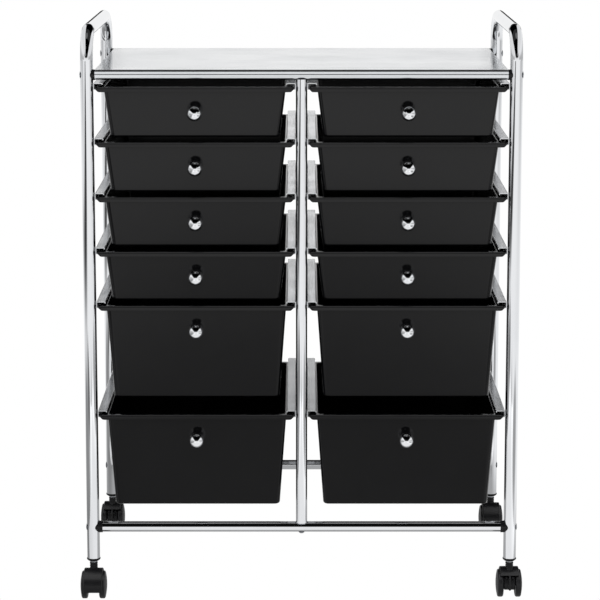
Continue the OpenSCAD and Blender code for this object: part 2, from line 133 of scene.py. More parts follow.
# %% Turned shapes
def across(axis):
    """Two unit directions square to an axis and to each other."""
    axis = np.asarray(axis, float) / np.linalg.norm(axis)
    spare = np.eye(3)[np.argmin(np.abs(axis))]
    u = np.cross(axis, spare)
    u /= np.linalg.norm(u)
    return axis, u, np.cross(axis, u)


def turned(profile, centre=(0, 0, 0), axis=(0, 0, 1), around=48):
    """Profile of (radius, height) turned about an axis: centre + height axis + radius (cos a u + sin a v)."""
    axis, u, v = across(axis)
    profile = np.asarray(profile, float)
    a = np.linspace(0, 2 * np.pi, around, endpoint=False)[:, None]
    circle = np.cos(a) * u + np.sin(a) * v
    return grid(np.asarray(centre, float) + profile[:, 1, None, None] * axis + profile[:, 0, None, None] * circle)


# %% Carried circles
def carried(path, radii, sideways, around=40):
    """Circle carried along a path: path(s) + r(s) (cos a side + sin a (tangent x side)), side square to the path."""
    path = np.asarray(path, float)
    tangent = np.gradient(path, axis=0)
    tangent /= np.linalg.norm(tangent, axis=1, keepdims=True)
    side = np.broadcast_to(np.asarray(sideways, float), path.shape)
    up = np.cross(tangent, side)
    a = np.linspace(0, 2 * np.pi, around, endpoint=False)[None, :, None]
    r = np.broadcast_to(np.asarray(radii, float), len(path))[:, None, None]
    return grid(path[:, None] + r * (np.cos(a) * side[:, None] + np.sin(a) * up[:, None]))


# %% Folded sheet
def folded(line, thickness, start, end, place):
    """Sheet folded along a line: points line + n t/2 and line - n t/2, pushed from start to end. place(p, q, s) puts
    section point (p, q) at length s. The ends are closed by faces across the thickness."""
    line = np.asarray(line, float)
    tangent = np.gradient(line, axis=0)
    tangent /= np.linalg.norm(tangent, axis=1, keepdims=True)
    normal = np.stack([-tangent[:, 1], tangent[:, 0]], 1)
    ring = np.concatenate([line + normal * thickness / 2, (line - normal * thickness / 2)[::-1]])
    stations = np.array([start, end], float)
    points = place(ring[None, :, 0], ring[None, :, 1], stations[:, None])
    points, faces = grid(np.stack(np.broadcast_arrays(*points), -1))
    count, i = len(ring), np.arange(len(line) - 1)
    cap = np.stack([i, i + 1, count - 2 - i, count - 1 - i], 1)
    return points, np.concatenate([faces, cap, cap[:, ::-1] + count])


# %% [markdown]
# ## From a shell to a piece
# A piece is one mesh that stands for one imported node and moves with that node's body. Faces are shaded smooth, edges
# sharper than 35 degrees stay crisp, and weighted normals keep the large flats even beside their narrow roundings.

# %% Make a piece and hang it on its body
SHARP = np.radians(35)
BODY_OF = {node: body for body, nodes in frame["record"]["behaviour"]["bodies"].items() for node in nodes}
SLOT_OF = {part["node"]: part["material_slot"] for part in frame["record"]["subparts"]}
FINISHES = {}
made = []


def piece(node, shell, word="surface"):
    """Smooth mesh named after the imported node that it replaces, with its material, on the same body."""
    points, faces = shell
    mesh = bpy.data.meshes.new(f"{node}_{word}")
    mesh.from_pydata((points * MM).tolist(), [], faces.tolist())
    work = bmesh.new()
    work.from_mesh(mesh)
    bmesh.ops.remove_doubles(work, verts=work.verts, dist=1e-6)
    bmesh.ops.recalc_face_normals(work, faces=work.faces)
    work.to_mesh(mesh)
    work.free()
    mesh.polygons.foreach_set("use_smooth", np.ones(len(mesh.polygons), bool))
    mesh.set_sharp_from_angle(angle=SHARP)
    body = bpy.data.objects.new(mesh.name, mesh)
    bpy.context.scene.collection.objects.link(body)
    weighted = body.modifiers.new("even flats", "WEIGHTED_NORMAL")
    weighted.keep_sharp = True
    slot = SLOT_OF[node]
    mesh.materials.append(FINISHES[slot])
    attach(body, BODY_OF[node])
    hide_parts(node)
    made.append((node, len(mesh.polygons)))
    return body


# %% [markdown]
# ## Colours and nodes
# Colours are written as the sRGB codes that a colour picker shows, and turned to linear light in one place. One small
# function adds a node with its settings and its inputs, so each material reads as a short recipe.

# %% Colour and node helpers
def linear(code):
    """Linear colour of an sRGB code: c / 12.92 up to 0.04045, and ((c + 0.055) / 1.055) ** 2.4 above it."""
    c = np.array([int(code[i:i + 2], 16) for i in (1, 3, 5)]) / 255
    return (*np.where(c <= 0.04045, c / 12.92, ((c + 0.055) / 1.055) ** 2.4).tolist(), 1.0)


def add(tree, kind, inputs=None, **settings):
    """New node of a kind. Settings are its properties. An input is a value, or a socket to link from."""
    node = tree.nodes.new(kind)
    for name, value in settings.items():
        setattr(node, name, value)
    for name, value in (inputs or {}).items():
        if isinstance(value, bpy.types.NodeSocket):
            tree.links.new(value, node.inputs[name])
        else:
            node.inputs[name].default_value = value
    return node


def between(tree, share, first, second):
    """Colour that goes from the first sRGB code to the second as the share goes from 0 to 1."""
    return add(tree, "ShaderNodeMix", {0: share, 6: linear(first), 7: linear(second)}, data_type="RGBA").outputs[2]


def finish(slot, title):
    """Empty material for a slot: its tree, its shader, and the piece's own millimetres as a coordinate."""
    material = bpy.data.materials.new(title)
    material.use_nodes = True
    tree = material.node_tree
    FINISHES[slot] = material
    return tree, tree.nodes["Principled BSDF"], tree.nodes.new("ShaderNodeTexCoord").outputs["Object"]


def per(size_mm):
    """Scale of a pattern whose repeat is a real size in millimetres, for coordinates in metres."""
    return 1 / (size_mm * MM)


# %% [markdown]
# ## Bright chrome on drawn tube
# Chrome plating is a mirror: almost all of its look is the room that it reflects. What the plating adds is a slight
# waviness from the drawn tube below, long along the tube and short across it, and faint smudges where hands go. The
# waviness is microns deep, so it only bends the reflected edges a little.

# %% Chrome
def chrome(slot, title, wave_mm, wave_depth_mm, along):
    tree, shader, place = finish(slot, title)
    stretch = add(tree, "ShaderNodeMapping", {"Vector": place, "Scale": along})
    wave = add(tree, "ShaderNodeTexNoise", {"Vector": stretch.outputs[0], "Scale": per(wave_mm), "Detail": 2.0})
    smudge = add(tree, "ShaderNodeTexNoise", {"Vector": place, "Scale": per(70), "Detail": 6.0, "Roughness": 0.6})
    gloss = add(tree, "ShaderNodeMapRange", {"Value": smudge.outputs["Fac"], "From Min": 0.35, "From Max": 0.75,
                                             "To Min": 0.025, "To Max": 0.09})
    tint = between(tree, smudge.outputs["Fac"], "#EDEEF0", "#E2E4E7")
    bump = add(tree, "ShaderNodeBump", {"Height": wave.outputs["Fac"], "Distance": wave_depth_mm * MM, "Strength": 1.0})
    tree.links.new(tint, shader.inputs["Base Color"])
    tree.links.new(gloss.outputs[0], shader.inputs["Roughness"])
    tree.links.new(bump.outputs[0], shader.inputs["Normal"])
    shader.inputs["Metallic"].default_value = 1.0


chrome("chrome_tube", "bright chrome on drawn steel tube", 9, 0.012, (1, 1, 0.12))
chrome("chrome_knob", "bright chrome on moulded ABS", 6, 0.004, (1, 1, 1))

# %% [markdown]
# ## Polished sheet, rail steel and zinc
# The top is steel sheet polished along its length: fine lines that stretch the reflections. The rails are rolled strip
# with a duller bright plating. Screws, rivets, stems and axles are zinc plated, a grainy grey with a blue cast.

# %% Sheet and plated steels
def steel(slot, title, light, dark, rough, grain_mm, depth_mm, along):
    tree, shader, place = finish(slot, title)
    stretch = add(tree, "ShaderNodeMapping", {"Vector": place, "Scale": along})
    grain = add(tree, "ShaderNodeTexNoise", {"Vector": stretch.outputs[0], "Scale": per(grain_mm), "Detail": 3.0})
    cloud = add(tree, "ShaderNodeTexNoise", {"Vector": place, "Scale": per(90), "Detail": 5.0})
    tint = between(tree, cloud.outputs["Fac"], light, dark)
    both = add(tree, "ShaderNodeMath", {0: grain.outputs["Fac"], 1: cloud.outputs["Fac"]}, operation="ADD")
    gloss = add(tree, "ShaderNodeMapRange", {"Value": both.outputs[0], "From Min": 0.6, "From Max": 1.4,
                                             "To Min": rough * 0.7, "To Max": rough * 1.3})
    bump = add(tree, "ShaderNodeBump", {"Height": grain.outputs["Fac"], "Distance": depth_mm * MM, "Strength": 1.0})
    tree.links.new(tint, shader.inputs["Base Color"])
    tree.links.new(gloss.outputs[0], shader.inputs["Roughness"])
    tree.links.new(bump.outputs[0], shader.inputs["Normal"])
    shader.inputs["Metallic"].default_value = 1.0


steel("polished_sheet", "polished steel sheet", "#DEE0E2", "#D4D7DA", 0.16, 1.6, 0.003, (0.02, 1, 1))
steel("rail_steel", "bright plated rolled strip", "#E4E5E7", "#D3D5D8", 0.22, 1.2, 0.004, (1, 0.03, 1))
steel("zinc_steel", "zinc plated steel", "#DCDEE1", "#C4C8CD", 0.30, 0.8, 0.006, (1, 1, 1))

# %% [markdown]
# ## Black plastics
# Three plastics make the dark half of the cart. Polypropylene drawers come out of a polished mould: a deep black that
# mirrors the floor dimly, shows each knob as a black shape above the knob, and ripples faintly where the melt flowed.
# Glass-filled nylon, in hoods, saddles and sockets, is rougher, and the wheels' hard plastic is rubbed grey on the
# tread. The grain of about half a millimetre is drawn twice as coarse, so that it shows at all.

# %% Moulded plastics
def plastic(slot, title, dark, light, rough, grain_mm, depth_mm, level):
    tree, shader, place = finish(slot, title)
    grain = add(tree, "ShaderNodeTexNoise", {"Vector": place, "Scale": per(grain_mm), "Detail": 4.0, "Roughness": 0.6})
    flow = add(tree, "ShaderNodeTexNoise", {"Vector": place, "Scale": per(55), "Detail": 4.0, "Distortion": 0.8})
    scuff = add(tree, "ShaderNodeTexNoise", {"Vector": place, "Scale": per(7), "Detail": 8.0, "Roughness": 0.7})
    rubbed = add(tree, "ShaderNodeMapRange", {"Value": scuff.outputs["Fac"], "From Min": 0.62, "From Max": 0.8})
    share = add(tree, "ShaderNodeMath", {0: flow.outputs["Fac"], 1: rubbed.outputs[0]}, operation="ADD", use_clamp=True)
    tint = between(tree, share.outputs[0], dark, light)
    gloss = add(tree, "ShaderNodeMapRange", {"Value": share.outputs[0], "From Min": 0.3, "From Max": 1.0,
                                             "To Min": rough * 0.88, "To Max": rough * 1.25})
    bump = add(tree, "ShaderNodeBump", {"Height": grain.outputs["Fac"], "Distance": depth_mm * MM, "Strength": 1.0})
    tree.links.new(tint, shader.inputs["Base Color"])
    tree.links.new(gloss.outputs[0], shader.inputs["Roughness"])
    tree.links.new(bump.outputs[0], shader.inputs["Normal"])
    shader.inputs["IOR"].default_value = 1.49
    shader.inputs["Specular IOR Level"].default_value = level


plastic("drawer_plastic", "polished black polypropylene", "#060607", "#0B0B0C", 0.13, 1.6, 0.004, 0.345)
plastic("black_nylon", "black glass-filled nylon", "#0B0B0C", "#151517", 0.36, 0.9, 0.015, 0.40)
plastic("wheel_plastic", "hard black polypropylene of the wheels", "#0D0D0E", "#1B1B1D", 0.34, 1.0, 0.012, 0.45)

for node, thing in frame["nodes"].items():
    thing.data.materials.clear()
    thing.data.materials.append(FINISHES[SLOT_OF[node]])
print("finishes:", {slot: material.name for slot, material in FINISHES.items()})

# %% [markdown]
# ## Side tubes
# Each side of the cart is one length of tube, bent twice into an upside-down U: two legs, and the handle across their
# tops. The path is straight, an arc, straight, an arc, straight. Rounding the two corners of a three-line path gives
# just that, and a circle is carried along it.

# %% Side tubes
POST_X, POST_Y, TUBE_R = 298.5, 175.0, 9.0
LEG_FOOT, HANDLE_TOP, BEND_R = 59.0, 822.0, 40.0
crown_z = HANDLE_TOP - TUBE_R
arch = rounded([(-POST_Y, LEG_FOOT), (-POST_Y, crown_z), (POST_Y, crown_z), (POST_Y, LEG_FOOT)], BEND_R, 26)
tip = np.array([[0, 0], [0, 0.002], [0, 0.25]])
arch = np.vstack([arch[:1] + tip, arch[1:-1], arch[-1:] + tip[::-1]])
tube_radii = np.concatenate([[0, TUBE_R - 0.25], np.full(len(arch) - 4, TUBE_R), [TUBE_R - 0.25, 0]])
for side, name in ((-1, "side_tube_left"), (1, "side_tube_right")):
    path = np.column_stack([np.full(len(arch), side * POST_X), arch])
    piece(name, carried(path, tube_radii, (1, 0, 0), 48))
print("length of tube in one side:", round(np.linalg.norm(np.diff(arch, axis=0), axis=1).sum()), "mm")

# %% [markdown]
# ## Posts and crossbars
# The two centre posts are straight tube, coped at both ends so that they sit round on the crossbar and under the
# shelf's rolled edge. The end of a coped tube is a curve, not a circle: its height depends on the angle around the
# tube, so the first and last rows of the grid follow the bar that they meet.

# %% Centre posts, coped at both ends
POST_R, BAR_R, BAR_Z, BAR_END = 8.0, 7.5, 105.0, 285.0
SHELF_TOP, ROLL_R, SHELF_END = 761.0, 7.5, 287.0
ROLL_Z = SHELF_TOP - ROLL_R
COPE, SEAT = 1.5, 0.1


def coped_post(y):
    """Tube round the Z axis at (0, y): its ends lie at bar height plus or minus the larger of bar r - cope and
    sqrt((bar r + gap)^2 - (R sin a)^2)."""
    a = np.linspace(0, 2 * np.pi, 64, endpoint=False)
    bow = np.sqrt(np.maximum((BAR_R + SEAT) ** 2 - (POST_R * np.sin(a)) ** 2, 0))
    low, high = BAR_Z + np.maximum(BAR_R - COPE, bow), ROLL_Z - np.maximum(ROLL_R - COPE, bow)
    z = np.stack([np.full(64, BAR_Z + 12), low, high, np.full(64, ROLL_Z - 12)])
    r = np.array([0, POST_R, POST_R, 0])[:, None]
    return grid(np.stack([r * np.cos(a), y + r * np.sin(a), z], -1))


for y, name in ((-POST_Y, "centre_post_front"), (POST_Y, "centre_post_rear")):
    piece(name, coped_post(y))

# %% Crossbars
bar_profile = rounded([(0, -BAR_END), (BAR_R, -BAR_END), (BAR_R, BAR_END), (0, BAR_END)], 0.4, 4)
for y, name in ((-POST_Y, "crossbar_front"), (POST_Y, "crossbar_rear")):
    piece(name, turned(bar_profile, (0, y, BAR_Z), (1, 0, 0), 64))

# %% [markdown]
# ## Saddles
# A bar can't be butted against a round leg, so a black saddle fills the join: one face hugs the leg, the other is a
# collar at the bar's end. The end that hugs is found like the cope: x = leg x - sqrt(r^2 - y^2). Two shallow grooves
# run round the collar, as moulded ones have.

# %% Saddles of the crossbars and of the shelf
def saddle(collar_r, bar_end, z):
    """Collar from the bar's end to the leg: x(s, a) = bar end + s (leg x - sqrt(leg r^2 - (R cos a)^2) - bar end)."""
    a = np.linspace(0, 2 * np.pi, 64, endpoint=False)
    s = np.array([0, 0, 0.08, 0.3, 0.36, 0.44, 0.5, 0.62, 0.68, 0.76, 0.82, 1, 1])[:, None]
    dip = np.array([0, 0.35, 0, 0, 0.3, 0.3, 0, 0, 0.3, 0.3, 0, 0, 0])[:, None]
    r = np.where((np.arange(len(s)) % (len(s) - 1) == 0)[:, None], 0, collar_r - dip)
    hug = POST_X - np.sqrt((TUBE_R + SEAT) ** 2 - (np.maximum(r, 0.01) * np.cos(a)) ** 2)
    x = bar_end + s * (hug - bar_end)
    right = grid(np.stack([x, r * np.cos(a), z + r * np.sin(a)], -1))
    pair = joined(right, mirrored(right, 0))
    return repeated(pair, [(0, -POST_Y, 0), (0, POST_Y, 0)])


piece("crossbar_saddles", saddle(BAR_R + 1, BAR_END, BAR_Z))
piece("shelf_saddles", saddle(ROLL_R, SHELF_END, ROLL_Z))

# %% [markdown]
# ## The shelf
# One sheet of steel makes the top. Its front and rear edges are bent down over a short flat, stepped in, and rolled
# into round beads that stiffen it, which gives the bright double line of the photograph. Its ends are folded down. The
# fold line is an arc of 244 degrees, a step, a tight bend, a straight run and the same again. A thickness turns it into
# sheet. The flat between the two edges is a mesh of its own, because further down a ceiling lights it alone.

# %% Shelf sheet with its rolled edges and folded ends
SHEET, END_FLANGE = 0.9, 9.0
bead = ROLL_R - SHEET / 2
STEP, BEND, BEND_RUN = 0.5, 2.4, 4.0
ROLL_START, ROLL_STOP = np.radians(50), -np.radians(180 + 14)
turn = np.linspace(ROLL_START, ROLL_STOP, 46)
under_roll = np.column_stack([-POST_Y + (bead - STEP) * np.cos(turn), ROLL_Z + (bead - STEP) * np.sin(turn)])
top_mid = SHELF_TOP - SHEET / 2
brow = rounded([tuple(under_roll[-1]), (-POST_Y - bead, under_roll[-1, 1] + 0.5), (-POST_Y - bead, top_mid),
                (-POST_Y + BEND_RUN, top_mid)], [0, 0.2, BEND, 0], 8)[1:]
front_edge = np.vstack([under_roll, brow])
rear_edge = (front_edge * (-1, 1))[::-1]
across_top = np.linspace(-POST_Y + BEND_RUN, POST_Y - BEND_RUN, 30)
flat = np.column_stack([across_top, np.full(len(across_top), top_mid)])
front_roll, flat_shell, rear_roll = (folded(line, SHEET, -SHELF_END, SHELF_END, lambda p, q, s: (s, p, q))
                                     for line in (front_edge, flat, rear_edge))
fold = [(SHELF_TOP - SHEET, 0.0), (SHELF_TOP - END_FLANGE, 0.0)]
apron = folded(fold, SHEET, -POST_Y + ROLL_R, POST_Y - ROLL_R, lambda p, q, s: (SHELF_END - SHEET / 2 + q, s, p))
piece("top_shelf", joined(front_roll, rear_roll, apron, mirrored(apron, 0)))
top_flat = piece("top_shelf", flat_shell, "flat")
fold_line = np.vstack([front_edge, flat[1:-1], rear_edge])
print("blank for the shelf:", round(np.linalg.norm(np.diff(fold_line, axis=0), axis=1).sum()), "mm across")

# %% [markdown]
# ## Rails
# Each drawer hangs by its side flanges in two C channels of sheet steel, riveted to the posts. The section is four
# strokes with rounded bends, and the lip that is turned down at the edge of the top flange stops a drawer from tipping
# out. One section serves all 24 rails, mirrored for the right side of each column.

# %% Rails
BAY_X, BAY_HALF = 148.75, 140.75
RAIL_W, RAIL_H, RAIL_T, RAIL_LIP, RAIL_END = 13.0, 9.5, 1.0, 2.5, 178.5
RIMS = [737.0, 659.8, 582.6, 505.4, 428.2, 270.7]
RAIL_DROP = 4.3
half_t = RAIL_T / 2
rail_line = rounded([(RAIL_W - half_t, RAIL_H - RAIL_LIP), (RAIL_W - half_t, RAIL_H - half_t),
                     (half_t, RAIL_H - half_t), (half_t, half_t), (RAIL_W, half_t)], 0.9, 6)
for column, column_name in ((-1, "left"), (1, "right")):
    for edge in (-1, 1):
        web_x = column * BAY_X + edge * (BAY_HALF - SEAT)
        rail = folded(rail_line, RAIL_T, -RAIL_END, RAIL_END, lambda p, q, s: (web_x - edge * p, s, q))
        where = "outer" if column == edge else "inner"
        piece(f"rails_{column_name}_{where}", repeated(rail, [(0, 0, rim - RAIL_DROP) for rim in RIMS]))

# %% [markdown]
# ## Heads of rivets and screws
# A pan head is a shallow dome. Rivets have a plain one; the screws have a cross recess for the driver. The dome is a
# height over a disc, and the recess is taken off that height wherever the point lies in one of the two slots, so a
# single grid gives both.

# %% Domed heads
def domed(head_r, head_h, shank_r, shank_len, recess=0.0, around=32, rows=10):
    """Head on a disc: height = h - D + sqrt(D^2 - r^2) with D = (R^2 + h^2) / (2 h), less the recess where
    min(|x|, |y|) < R / 9 and max(|x|, |y|) < R / 2. The shank goes down from the head's flat side."""
    dome = (head_r ** 2 + head_h ** 2) / (2 * head_h)
    r = head_r * np.linspace(0, 1, rows) ** 0.8
    a = np.linspace(0, 2 * np.pi, around, endpoint=False)
    x, y = r[:, None] * np.cos(a), r[:, None] * np.sin(a)
    near, far = np.minimum(abs(x), abs(y)), np.maximum(abs(x), abs(y))
    z = head_h - dome + np.sqrt(dome ** 2 - x ** 2 - y ** 2) - recess * ((near < head_r / 9) & (far < head_r / 2))
    tail_r = np.array([shank_r, shank_r, 0])[:, None]
    tail = np.stack([tail_r * np.cos(a), tail_r * np.sin(a), np.broadcast_to([[0], [-shank_len], [-shank_len]],
                                                                            (3, around))], -1)
    return grid(np.concatenate([np.stack([x, y, z], -1), tail]))


def pointed(shell, centre, axis):
    """A shell turned from +Z to another axis and moved: centre + x u + y v + z axis."""
    points, faces = shell
    axis, u, v = across(axis)
    return np.asarray(centre, float) + points @ np.stack([u, v, axis]), faces


# %% Rivets in the rails
rivet = domed(2.8, 1.2, 1.5, 1.8, around=16, rows=5)
rivet_z = [rim - RAIL_DROP + RAIL_H / 2 for rim in RIMS]
head_x = BAY_HALF - SEAT - RAIL_T
spots = [(column * BAY_X, y, z) for column in (-1, 1) for y in (-POST_Y, POST_Y) for z in rivet_z]
piece("rail_rivets", joined(*[repeated(pointed(rivet, (edge * head_x, 0, 0), (-edge, 0, 0)), spots)
                              for edge in (-1, 1)]))

# %% Screws through the legs and up through the crossbars
screw = domed(5.0, 1.3, 2.4, 6.0, 0.7, 64, 22)
heads = [pointed(screw, (side * (POST_X + TUBE_R), 0, 0), (side, 0, 0)) for side in (-1, 1)]
piece("side_screws", repeated(joined(*heads), [(0, y, z) for y in (-POST_Y, POST_Y) for z in (BAR_Z, ROLL_Z)]))
foot_screw = pointed(domed(4.5, 2.5, 2.0, 6.0, 1.4, 64, 22), (0, 0, BAR_Z - BAR_R), (0, 0, -1))
piece("centre_screws", repeated(foot_screw, [(0, -POST_Y, 0), (0, POST_Y, 0)]))

# %% [markdown]
# ## Drawers
# A drawer is one moulding: a tub that narrows towards its floor, a flange on each side that rides in the rails, and a
# deeper lip with two ears across the front. Seen from above, every level of it is a ring: a rounded rectangle, wider at
# the ears. The drawer is a loft through such rings, up the outside, over the rim and down the inside. The rings have
# the same number of points, so they stack straight into a grid.

# %% Rings of a drawer
LIP_H, FLANGE_T, FLANGE_EDGE, SKIRT, WALL, FLOOR = 7.0, 2.0, 3.0, 2.0, 2.0, 2.0
EAR_CUT, LIP_EDGE, EDGE_R = 4.0, 2.4, 0.9
RIM_HALF, RIM_BEHIND, BODY_HALF = 138.5, 136.5, 127.2
RIM_FRONT, RIM_REAR, EAR_BACK = -184.0, 176.0, -179.3
FRONT_FACE, REAR_FACE = RIM_FRONT + 5.0, RIM_REAR - 6.0
quarter = np.radians(np.linspace(0, 90, 11))


def corner(x, y, r, start, z):
    """Quarter circle about (x, y): (x + r cos(start + t), y + r sin(start + t), z)."""
    t = quarter + np.radians(start)
    return np.column_stack([x + r * np.cos(t), y + r * np.sin(t), np.full(len(t), z)])


def ring(wide, narrow, front, rear, r, ear_y, front_z, side_z):
    """Closed ring seen from above: four quarter circles, wide at the front and narrow behind the ears."""
    right = np.vstack([corner(wide - r, front + r, r, -90, front_z), [(wide, ear_y, front_z)],
                       [(narrow, ear_y + 0.5, side_z)], corner(narrow - r, rear - r, r, 0, side_z)])
    return np.vstack([right, (right * (-1, 1, 1))[::-1]])


def body_ring(height, taper, drop, inset):
    """Ring of the tapered tub: each side draws in by taper x drop / height, and by the inset."""
    half = BODY_HALF - taper[0] * drop / height - inset
    front = FRONT_FACE + taper[1] * drop / height + inset
    rear = REAR_FACE - taper[1] * drop / height - inset
    r = 8.0 - min(inset, 4.0)
    return ring(half, half, front, rear, r, front + r + 2, -drop, -drop)


def rim_ring(inset, lip_inset, front_z, side_z, front_inset=None):
    """Ring of the rim, with one height along the front lip and another along the flanges."""
    front = RIM_FRONT + (inset if front_inset is None else front_inset)
    return ring(RIM_HALF - inset - lip_inset, RIM_BEHIND - inset, front, RIM_REAR - inset,
                4.5 - min(inset, 2.25), EAR_BACK, front_z, side_z)


# %% Loft a drawer through its rings
def tub(height, taper):
    """Stack of rings from the floor's middle, up the outside, round the rim, and down inside to the floor's middle."""
    t = np.linspace(0, np.pi / 2, 7)
    foot = [body_ring(height, taper, height - 3 * (1 - np.cos(f)), 3 * (1 - np.sin(f))) for f in t]
    outside = [body_ring(height, taper, drop, 0) for drop in np.linspace(height - 8, FLANGE_T + 1, 4)]
    under = [body_ring(height, taper, FLANGE_T, 0), rim_ring(SKIRT, 0, -FLANGE_T, -FLANGE_T),
             rim_ring(SKIRT, EAR_CUT, -LIP_H + 0.3, -FLANGE_EDGE), rim_ring(SKIRT - 0.4, EAR_CUT, -LIP_H, -FLANGE_EDGE),
             rim_ring(0.5, EAR_CUT, -LIP_H, -FLANGE_EDGE),
             rim_ring(0.15, EAR_CUT - 0.1, -LIP_H + 0.15, -FLANGE_EDGE + 0.15),
             rim_ring(0, EAR_CUT - 0.4, -LIP_H + 0.5, -FLANGE_EDGE + 0.4),
             rim_ring(0, 0.4, -LIP_H + EAR_CUT - 0.3, -FLANGE_EDGE + 0.6),
             rim_ring(0, 0, -LIP_H + EAR_CUT + 0.3, -FLANGE_EDGE + 0.8)]
    edge = [rim_ring(EDGE_R * (1 - np.cos(f)), 0, -LIP_EDGE * (1 - np.sin(f)), -EDGE_R * (1 - np.sin(f)),
                     LIP_EDGE * (1 - np.cos(f))) for f in t]
    mouth = [body_ring(height, taper, EDGE_R * (1 - np.cos(f)), WALL - EDGE_R * (1 - np.sin(f))) for f in t]
    inside = [body_ring(height, taper, height - FLOOR - 3 + 3 * np.sin(f), WALL + 3 * (1 - np.cos(f))) for f in t]
    rings = np.stack(foot + outside + under + edge + mouth + inside)
    rings[:, :, 2] = np.maximum(rings[:, :, 2], -height)
    poles = rings[[0, -1]].mean(axis=1, keepdims=True) * (0, 1, 1)
    first, last = np.broadcast_to(poles[0], rings[:1].shape), np.broadcast_to(poles[1], rings[:1].shape)
    return grid(np.concatenate([first, rings, last]))


SHALLOW, DEEP = (71.0, (8.75, 8.0)), (134.5, (9.75, 10.0))
sizes = [SHALLOW] * 4 + [DEEP] * 2
for column, column_name in ((-1, "left"), (1, "right")):
    for row, (rim, size) in enumerate(zip(RIMS, sizes), 1):
        piece(f"drawer_{column_name}_{row}", repeated(tub(*size), [(column * BAY_X, 0, rim)]))
print("drawer grid:", tub(*SHALLOW)[1].shape[0], "faces")

# %% [markdown]
# ## Knobs
# A chromed ball on a short neck stands square on the leaning front, held by a screw from inside. The ball is a half
# circle turned about the knob's own axis, and the neck runs into it through the profile.

# %% Knobs and their screws
KNOB_R, KNOB_REACH, KNOB_DROP = 11.0, 26.0, 34.0
ball = np.linspace(np.arcsin(4.0 / KNOB_R), np.pi, 40)
ball_line = np.column_stack([KNOB_R * np.sin(ball), KNOB_REACH - KNOB_R - KNOB_R * np.cos(ball)])
stalk = rounded([(0, 0), (5.75, 0), (5.2, 0.8), (4.0, 1.5), tuple(ball_line[0])], [0, 0.2, 0.5, 1.0, 0], 6)
knob_line = np.vstack([stalk[:-1], ball_line])
for column, column_name in ((-1, "left"), (1, "right")):
    for row, (rim, (height, taper)) in enumerate(zip(RIMS, sizes), 1):
        lean = np.arctan(taper[1] / height)
        axis = np.array([0, -np.cos(lean), -np.sin(lean)])
        seat = np.array([column * BAY_X, FRONT_FACE + taper[1] * KNOB_DROP / height, rim - KNOB_DROP])
        head = pointed(domed(4.0, 2.4, 1.75, 3.0, 1.2, 32, 12), seat - WALL * axis, -axis)
        piece(f"knob_{column_name}_{row}", joined(turned(knob_line, seat, axis, 64), head))

# %% [markdown]
# ## Sockets and stems
# A black socket is pressed into the foot of each leg. Its rounded rim shows as a dark ring, and the caster's steel
# stem turns below it on a bright collar. All of them are turned, and four copies stand at the corners.

# %% Leg sockets and caster stems
CORNERS = {"front_left": (-1, -1), "front_right": (1, -1), "rear_left": (-1, 1), "rear_right": (1, 1)}
feet = [(x * POST_X, y * POST_Y, 0) for x, y in CORNERS.values()]
socket_line = rounded([(4.1, 62), (4.1, 55), (7.2, 55), (9.75, 57.2), (9.75, 59), (7.9, 59), (7.9, 62), (4.1, 62)],
                      [0, 0.3, 2.0, 1.2, 0.4, 0, 0, 0], 7)
stem_line = rounded([(0, 28), (4, 28), (4, 53.5), (5.5, 53.5), (5.5, 55), (4, 55), (4, 66), (0, 66)],
                    [0, 0.5, 0.2, 0.3, 0.3, 0, 0, 0], 5)
piece("leg_sockets", repeated(turned(socket_line), feet))
piece("caster_stems", repeated(turned(stem_line), feet))

# %% [markdown]
# ## Casters
# A twin-wheel caster has a hood of black nylon: a web between the wheels, a fender bent round them on one side, and a
# ribbed neck for the stem. The other side is open, so the inside of the web and its ribs show. The fender is a rounded
# bar carried round the axle from the foot to the brim. Both of its ends are cut level, so the angle at which it stops
# depends on the radius: sin a = (height - axle) / r.

# %% Hood: fender, web, ribs and neck
TRAIL, AXLE_Z, HOOD_R, HOOD_HALF, WEB_HALF, WHEEL_R = 4.0, 20.0, 24.0, 13.5, 8.0, 20.0
HOOD_FOOT, BRIM_Z, NECK_TOP = 14.5, 36.0, 52.5


def fender():
    """Rounded bar round the axle: at radius r it runs from sin a = (foot - axle) / r to sin a = (brim - axle) / r."""
    section = rounded([(0, 21), (HOOD_HALF, 21), (HOOD_HALF, HOOD_R), (-HOOD_HALF, HOOD_R), (-HOOD_HALF, 21), (0, 21)],
                      [0, 0.5, 1.5, 1.5, 0.5, 0], 7)[:-1]
    section = np.concatenate([np.full((1, len(section), 2), (0, 22.5)), np.repeat(section[None], 40, 0),
                              np.full((1, len(section), 2), (0, 22.5))])
    x, r = section[..., 0], section[..., 1]
    t = np.concatenate([[0], np.linspace(0, 1, 40), [1]])[:, None]
    foot, brim = np.arcsin((HOOD_FOOT - AXLE_Z) / r), np.pi - np.arcsin((BRIM_Z - AXLE_Z) / r)
    a = foot + t * (brim - foot)
    return grid(np.stack([x, TRAIL + r * np.cos(a), AXLE_Z + r * np.sin(a)], -1))


def web(half, reach, open_reach):
    """Disc round the axle, cut off at the foot: R(a) = min(reach, (axle - foot) / -sin a), and less in the mouth."""
    a = np.linspace(0, 2 * np.pi, 96, endpoint=False)
    in_mouth = (a > np.radians(126)) & (a < np.radians(215))
    edge = np.where(in_mouth, open_reach, reach)
    down = np.maximum(-np.sin(a), 1e-6)
    edge = np.minimum(edge, (AXLE_Z - HOOD_FOOT) / down)
    share = np.array([0, 1, 1, 1, 1, 0])[:, None]
    trim = np.array([0, 0.8, 0, 0, 0.8, 0])[:, None]
    x = np.array([-half, -half, -half + 0.8, half - 0.8, half, half])[:, None] * np.ones(96)
    r = share * edge - trim
    return grid(np.stack([x, TRAIL + r * np.cos(a), AXLE_Z + r * np.sin(a)], -1))


